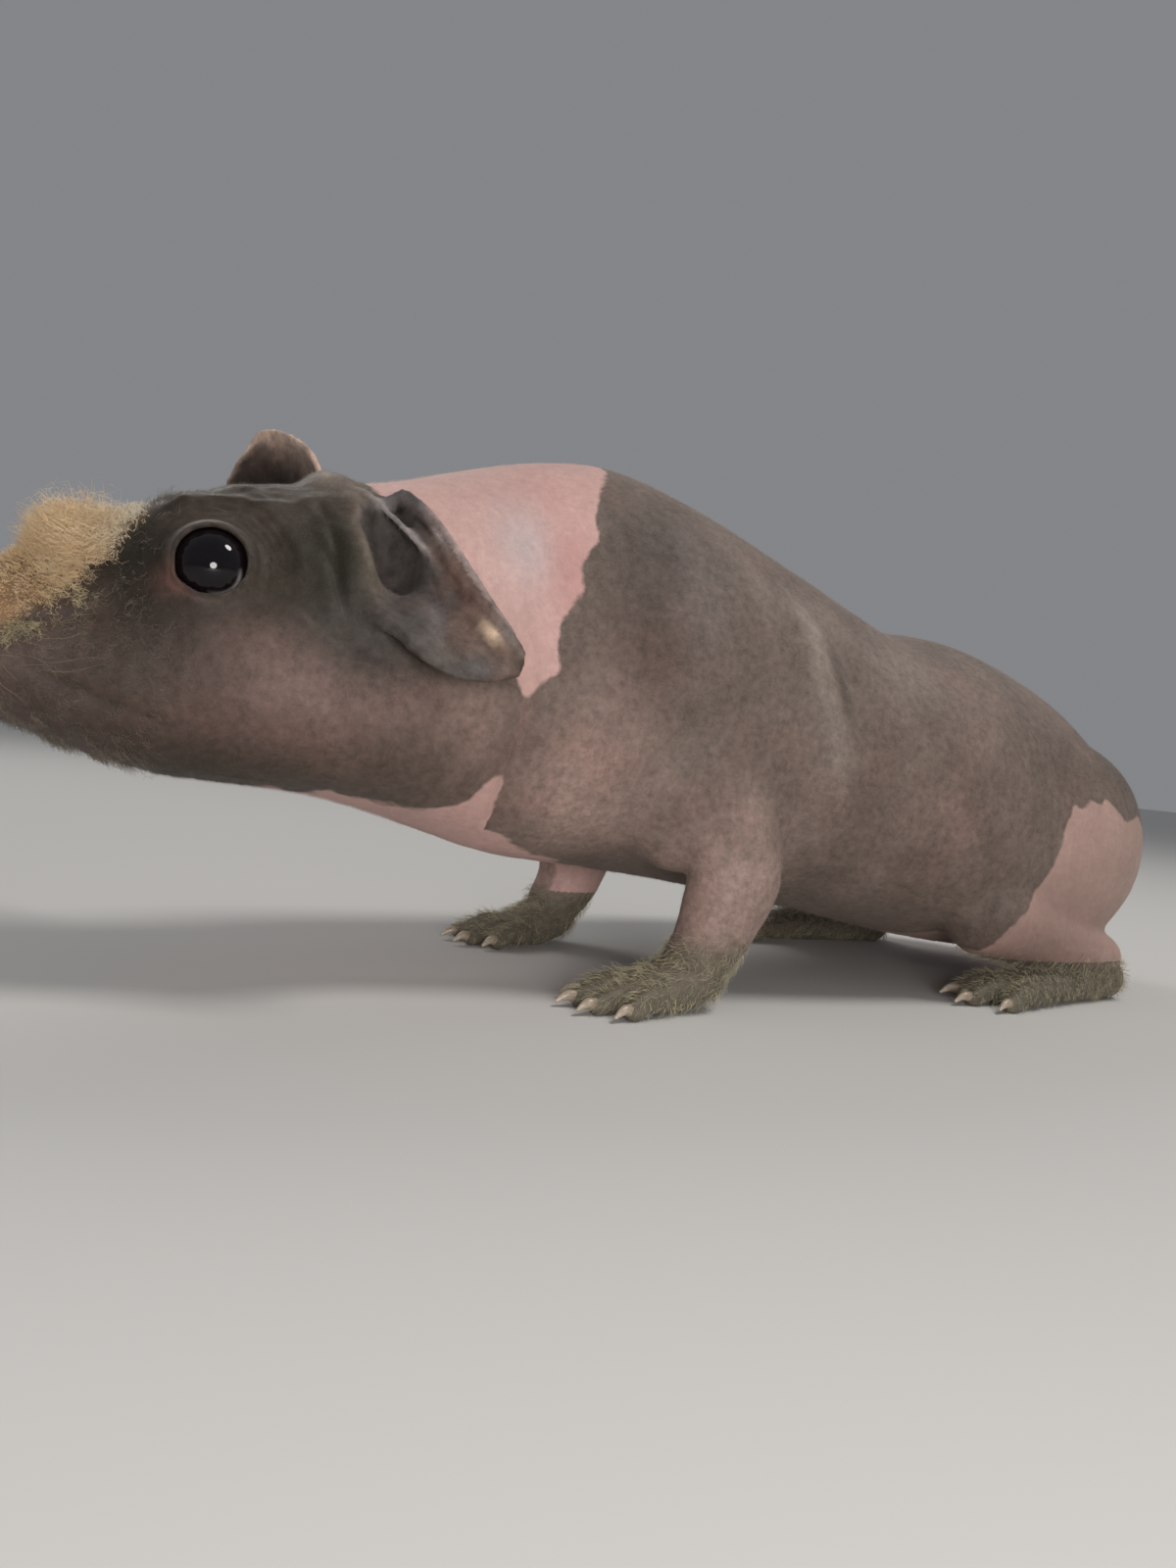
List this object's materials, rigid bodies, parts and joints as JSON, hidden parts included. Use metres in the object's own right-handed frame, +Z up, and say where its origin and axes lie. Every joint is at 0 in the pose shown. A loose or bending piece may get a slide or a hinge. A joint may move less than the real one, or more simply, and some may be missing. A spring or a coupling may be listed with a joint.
{
  "type": "skinny pig",
  "caption": "Life-size still model of a nearly hairless guinea pig, standing with its head stretched forward, with soft wrinkled skin, drooping ears and a tuft of curly hair on the nose.",
  "frame": {"origin": "on the floor, under the middle of the animal's bounding box", "axes": "the animal faces -Y, its left side is +X, +Z is up, and its length runs along Y"},
  "size_m": [0.0868, 0.257, 0.0945],
  "materials": {
    "slate_skin": "soft matt skin with fine pores",
    "taupe_skin": "soft matt skin with fine fuzz",
    "pink_skin": "soft bare skin",
    "foot_skin": "bare pads under golden brown hair",
    "dark_eye": "wet gloss",
    "claw_horn": "satin horn"
  },
  "bodies": {
    "root": {"head": "slate_skin", "neck": "pink_skin", "torso": "taupe_skin", "ear_left": "slate_skin", "ear_right": "slate_skin", "eye_left": "dark_eye", "eye_right": "dark_eye", "leg_front_left": "taupe_skin", "foot_front_left": "foot_skin", "claw_front_left_1": "claw_horn", "claw_front_left_2": "claw_horn", "claw_front_left_3": "claw_horn", "claw_front_left_4": "claw_horn", "leg_front_right": "taupe_skin", "foot_front_right": "foot_skin", "claw_front_right_1": "claw_horn", "claw_front_right_2": "claw_horn", "claw_front_right_3": "claw_horn", "claw_front_right_4": "claw_horn", "leg_hind_left": "taupe_skin", "foot_hind_left": "foot_skin", "claw_hind_left_1": "claw_horn", "claw_hind_left_2": "claw_horn", "claw_hind_left_3": "claw_horn", "leg_hind_right": "taupe_skin", "foot_hind_right": "foot_skin", "claw_hind_right_1": "claw_horn", "claw_hind_right_2": "claw_horn", "claw_hind_right_3": "claw_horn"}
  },
  "joints": []
}
